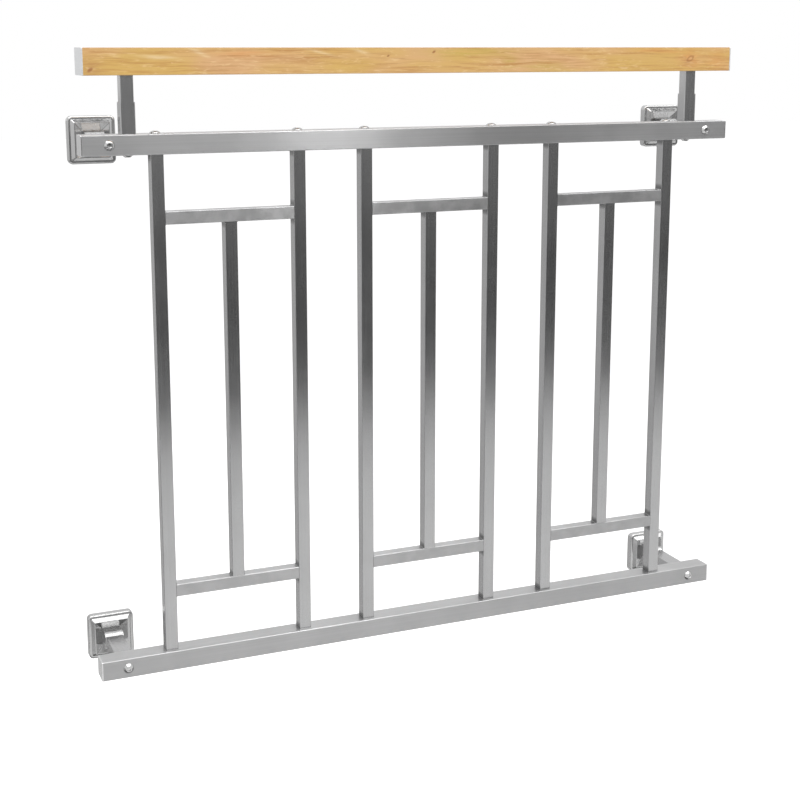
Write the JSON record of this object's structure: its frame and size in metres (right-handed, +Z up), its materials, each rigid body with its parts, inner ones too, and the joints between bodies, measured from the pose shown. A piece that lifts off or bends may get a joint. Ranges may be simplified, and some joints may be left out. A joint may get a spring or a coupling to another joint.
{
  "type": "juliet balcony railing",
  "caption": "Stainless steel juliet balcony railing: welded panels of square bars between box rails, a wooden handrail on short posts, and wall brackets with square rosettes.",
  "frame": {"origin": "centre of the lower left wall plate's back face, on the wall", "axes": "+X along the railing to the viewer's right as seen from in front of it, +Y towards the wall, +Z up"},
  "size_m": [1.124, 0.163, 0.9995],
  "materials": {
    "rail_steel": "brushed along the rail",
    "rail_cap_steel": "brushed",
    "bar_steel": "brushed along the bar",
    "crossbar_steel": "brushed along the bar",
    "post_steel": "brushed along the post",
    "post_socket_steel": "brushed along the post",
    "handrail_wood": "oiled, with its grain along the rail",
    "handrail_cap_steel": "satin",
    "wall_plate_steel": "plain",
    "arm_socket_steel": "polished",
    "arm_steel": "brushed along the arm",
    "cover_steel": "polished"
  },
  "bodies": {
    "root": {"bottom_rail": "rail_steel", "top_rail": "rail_steel", "bottom_rail_left_cap": "rail_cap_steel", "bottom_rail_right_cap": "rail_cap_steel", "top_rail_left_cap": "rail_cap_steel", "top_rail_right_cap": "rail_cap_steel", "left_panel_left_bar": "bar_steel", "left_panel_middle_bar": "bar_steel", "left_panel_right_bar": "bar_steel", "middle_panel_left_bar": "bar_steel", "middle_panel_middle_bar": "bar_steel", "middle_panel_right_bar": "bar_steel", "right_panel_left_bar": "bar_steel", "right_panel_middle_bar": "bar_steel", "right_panel_right_bar": "bar_steel", "left_panel_lower_crossbar": "crossbar_steel", "left_panel_upper_crossbar": "crossbar_steel", "middle_panel_lower_crossbar": "crossbar_steel", "middle_panel_upper_crossbar": "crossbar_steel", "right_panel_lower_crossbar": "crossbar_steel", "right_panel_upper_crossbar": "crossbar_steel", "left_post": "post_steel", "right_post": "post_steel", "left_post_socket": "post_socket_steel", "right_post_socket": "post_socket_steel", "handrail": "handrail_wood", "handrail_left_cap": "handrail_cap_steel", "handrail_right_cap": "handrail_cap_steel", "lower_left_wall_plate": "wall_plate_steel", "lower_right_wall_plate": "wall_plate_steel", "upper_left_wall_plate": "wall_plate_steel", "upper_right_wall_plate": "wall_plate_steel", "lower_left_arm_socket": "arm_socket_steel", "lower_right_arm_socket": "arm_socket_steel", "upper_left_arm_socket": "arm_socket_steel", "upper_right_arm_socket": "arm_socket_steel", "lower_left_arm": "arm_steel", "lower_right_arm": "arm_steel", "upper_left_arm": "arm_steel", "upper_right_arm": "arm_steel", "lower_left_cover": "cover_steel", "lower_right_cover": "cover_steel", "upper_left_cover": "cover_steel", "upper_right_cover": "cover_steel"}
  },
  "joints": []
}
